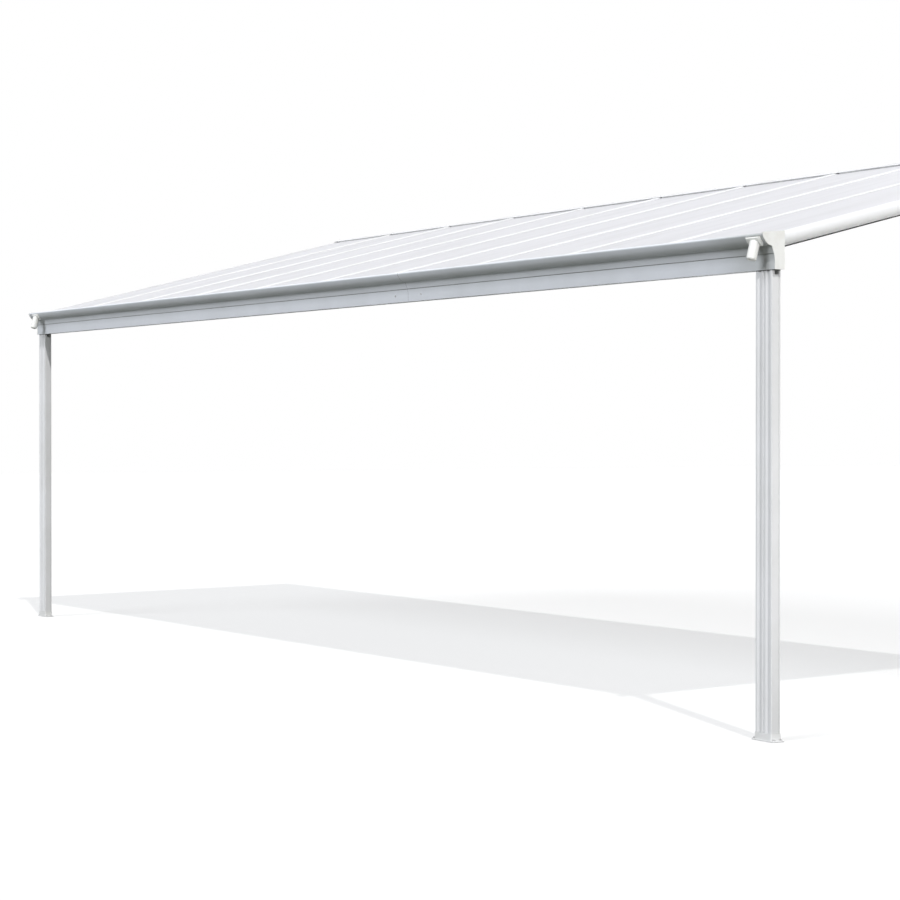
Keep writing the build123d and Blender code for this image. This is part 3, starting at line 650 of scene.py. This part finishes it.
def buildOutletPlug(side):
    mount = mounts["spout_mouth_" + side]
    axis = Vector(mount["axis"])
    mouth = Vector(mount["pos_m"]) + axis * mount["dims"]["length_mm"] / 2 / mmPerMetre
    shape = bmesh.new()
    profile = plugProfile(mount["dims"]["r_mm"] / mmPerMetre)
    line = [shape.verts.new((radius, 0, height)) for radius, height in profile]
    edges = [shape.edges.new(pair) for pair in zip(line, line[1:])]
    bmesh.ops.spin(shape, geom=line + edges, cent=(0, 0, 0), axis=(0, 0, 1), angle=2 * pi,
                   steps=plug["steps"], use_merge=True)
    bmesh.ops.remove_doubles(shape, verts=shape.verts, dist=plug["weld"])
    turn = Vector((0, 0, 1)).rotation_difference(axis).to_matrix()
    for vertex in shape.verts:
        vertex.co = mouth + turn @ vertex.co
    piece = finishShape(shape, "outlet_plug_" + side, slotMaterials["white_plastic"])
    for face in piece.data.polygons:
        face.use_smooth = True
    piece.data.set_sharp_from_angle(angle=radians(plug["sharpAbove"]))
    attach(piece, "root")


for side in sides:
    buildOutletPlug(side)
print("outlet plugs made")


# Dark rubber ring round each post's bracket plate, between the post's top and the gutter: painted shade,
# a dark piece put in the gap under the gutter where shade falls
shadeRing = {"corner": 0.003, "cornerSteps": 5, "play": 0.0002}


def roundedLoop(shape, low, high, corner, z):
    # one loop of points round a rectangle with rounded corners, from the back right corner on
    loop = []
    turns = ((high[0], high[1], 0), (low[0], high[1], 90), (low[0], low[1], 180), (high[0], low[1], 270))
    for x, y, start in turns:
        middleX = x - corner if x == high[0] else x + corner
        middleY = y - corner if y == high[1] else y + corner
        for step in range(shadeRing["cornerSteps"] + 1):
            angle = radians(start + 90 * step / shadeRing["cornerSteps"])
            across = middleX + corner * cos(angle)
            deep = middleY + corner * sin(angle)
            loop.append(shape.verts.new((across, deep, z)))
    return loop


def buildPostShadeRing(side):
    postLow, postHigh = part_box("post_" + side)
    plateLow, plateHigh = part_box("post_top_bracket_" + side)
    play = shadeRing["play"]
    bottom, top = postHigh[2] + play, plateHigh[2] - play
    shape = bmesh.new()
    outer = ((postLow[0] + play, postLow[1] + play), (postHigh[0] - play, postHigh[1] - play))
    inner = ((plateLow[0] - play, plateLow[1] - play), (plateHigh[0] + play, plateHigh[1] + play))
    loops = [
        roundedLoop(shape, *outer, shadeRing["corner"], bottom),
        roundedLoop(shape, *outer, shadeRing["corner"], top),
        roundedLoop(shape, *inner, play, top),
        roundedLoop(shape, *inner, play, bottom),
    ]
    count = len(loops[0])
    for first, second in zip(loops, loops[1:] + loops[:1]):
        for step in range(count):
            after = (step + 1) % count
            shape.faces.new((first[step], first[after], second[after], second[step]))
    # painted shade: the dark ring stands in for the shadow in the gap
    piece = finishShape(shape, "post_top_shade_ring_" + side, slotMaterials["seal"])
    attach(piece, "root")


for side in sides:
    buildPostShadeRing(side)
print("post packing made")

# The photograph's camera: focal length in pixels of a 900-pixel frame, place in metres
photoView = {
    "frameWidth": 900,
    "focalPixels": 2492.9,
    "sensor": 36.0,
    "place": (13.0382, -9.3553, -1.4375),
    "heading": 59.216,
    "tilt": 89.539,
    "clipEnd": 500.0,
}
cameraData = bpy.data.cameras.new("photoCamera")
cameraData.sensor_width = photoView["sensor"]
cameraData.lens = photoView["focalPixels"] / photoView["frameWidth"] * photoView["sensor"]
cameraData.clip_end = photoView["clipEnd"]
camera = bpy.data.objects.new("photoCamera", cameraData)
camera.location = photoView["place"]
camera.rotation_euler = Euler((radians(photoView["tilt"]), 0, radians(photoView["heading"])))
bpy.context.scene.collection.objects.link(camera)
bpy.context.scene.camera = camera

# Light: a sun from the right, high and a little in front, broad soft fills from the front, the
# right and behind, a low lamp on the right, and an even sky over a dull green-grey ground
light = {
    "sun": {"strength": 1.75, "softness": 1.0, "from": (0.645, -0.21, 0.735),
            "colour": (1.0, 0.995, 0.98)},
    "fill": {"strength": 2.00, "softness": 34.0, "from": (0.12, -0.81, 0.57),
             "colour": (0.93, 0.96, 1.0)},
    "sideFill": {"strength": 0.40, "softness": 50.0, "from": (0.98, -0.12, 0.10),
                 "colour": (1.0, 1.0, 0.99)},
    "backFill": {"strength": 1.50, "softness": 60.0, "from": (-0.30, 0.90, 0.32),
                 "colour": (0.97, 0.98, 1.0)},
    "bounce": {"power": 46.0, "width": 3.0, "depth": 3.0, "place": (6.0, -0.6, -2.7),
               "towards": (4.4, -1.2, -0.3)},
    "skyStrength": 0.27,
    "skyColour": (0.95, 0.97, 1.0),
}


def aimLamp(name, data, direction):
    lamp = bpy.data.objects.new(name, data)
    lamp.rotation_euler = direction.to_track_quat("Z", "Y").to_euler()
    bpy.context.scene.collection.objects.link(lamp)
    return lamp


def addSun(name):
    look = light[name]
    data = bpy.data.lights.new(name, "SUN")
    data.energy = look["strength"]
    data.angle = radians(look["softness"])
    data.color = look["colour"]
    aimLamp(name, data, Vector(look["from"]))


def addBounce():
    # low on the right, as sunlit paving would throw light up under the edge beam
    look = light["bounce"]
    data = bpy.data.lights.new("bounce", "AREA")
    data.shape = "RECTANGLE"
    data.size = look["width"]
    data.size_y = look["depth"]
    data.energy = look["power"]
    lamp = aimLamp("bounce", data, Vector(look["place"]) - Vector(look["towards"]))
    lamp.location = look["place"]
    lamp.visible_camera = False


for name in ("sun", "fill", "sideFill", "backFill"):
    addSun(name)
addBounce()


def seenByCamera(tree):
    # 1 where the camera sees it, straight, in a gloss or through the sheet
    path = addNode(tree, "ShaderNodeLightPath")
    both = addNode(tree, "ShaderNodeMath", operation="MAXIMUM")
    seen = addNode(tree, "ShaderNodeMath", operation="MAXIMUM")
    tree.links.new(path.outputs["Is Camera Ray"], both.inputs[0])
    tree.links.new(path.outputs["Is Glossy Ray"], both.inputs[1])
    tree.links.new(both.outputs[0], seen.inputs[0])
    tree.links.new(path.outputs["Is Transmission Ray"], seen.inputs[1])
    return seen.outputs[0]


def buildWorld():
    # white to the camera, and an even pale sky in the light that it gives
    world = bpy.data.worlds.new("studio")
    bpy.context.scene.world = world
    world.use_nodes = True
    tree = world.node_tree
    tree.nodes.clear()
    sky = addNode(tree, "ShaderNodeBackground")
    sky.inputs["Color"].default_value = (*light["skyColour"], 1)
    sky.inputs["Strength"].default_value = light["skyStrength"]
    white = addNode(tree, "ShaderNodeBackground")
    white.inputs["Color"].default_value = (1, 1, 1, 1)
    white.inputs["Strength"].default_value = 1.0
    mix = addNode(tree, "ShaderNodeMixShader")
    output = addNode(tree, "ShaderNodeOutputWorld")
    tree.links.new(seenByCamera(tree), mix.inputs[0])
    tree.links.new(sky.outputs[0], mix.inputs[1])
    tree.links.new(white.outputs[0], mix.inputs[2])
    tree.links.new(mix.outputs[0], output.inputs[0])


buildWorld()

# The ground under the feet: dull on the whole, and pale as paving to the right of the cover
ground = {
    "tone": (0.06, 0.065, 0.045),
    "corners": ((-60, -60), (60, 60)),
    "drop": 0.002,
    "besideTone": (0.88, 0.87, 0.84),
    "besideCorners": ((4.5, -2.2), (12.0, 4.0)),
    "besideRise": 0.001,
    "seenTone": (0.96, 0.96, 0.96),
    "shadowSoftening": 0.55,
}


def buildFloor(name, low, high, z, tone):
    # near white to the camera and in a gloss, and of its own tone in the light that it throws back
    mesh = bpy.data.meshes.new(name)
    corners = [(low[0], low[1], z), (high[0], low[1], z), (high[0], high[1], z), (low[0], high[1], z)]
    mesh.from_pydata(corners, [], [(0, 1, 2, 3)])
    floor = bpy.data.objects.new(name, mesh)
    bpy.context.scene.collection.objects.link(floor)
    material = bpy.data.materials.new(name)
    material.use_nodes = True
    tree = material.node_tree
    tree.nodes.clear()
    dull = addNode(tree, "ShaderNodeBsdfDiffuse")
    dull.inputs["Color"].default_value = (*tone, 1)
    pale = addNode(tree, "ShaderNodeBsdfDiffuse")
    pale.inputs["Color"].default_value = (*ground["seenTone"], 1)
    glow = addNode(tree, "ShaderNodeEmission")
    soft = addNode(tree, "ShaderNodeMixShader")
    soft.inputs[0].default_value = ground["shadowSoftening"]
    mix = addNode(tree, "ShaderNodeMixShader")
    output = addNode(tree, "ShaderNodeOutputMaterial")
    tree.links.new(seenByCamera(tree), mix.inputs[0])
    tree.links.new(dull.outputs[0], mix.inputs[1])
    tree.links.new(pale.outputs[0], soft.inputs[1])
    tree.links.new(glow.outputs[0], soft.inputs[2])
    tree.links.new(soft.outputs[0], mix.inputs[2])
    tree.links.new(mix.outputs[0], output.inputs[0])
    mesh.materials.append(material)


groundLevel = cadBox[0][2] - ground["drop"]
buildFloor("floor", *ground["corners"], groundLevel, ground["tone"])
besideLevel = groundLevel + ground["besideRise"]
buildFloor("floor_beside", *ground["besideCorners"], besideLevel, ground["besideTone"])
print("camera, light and floor set")
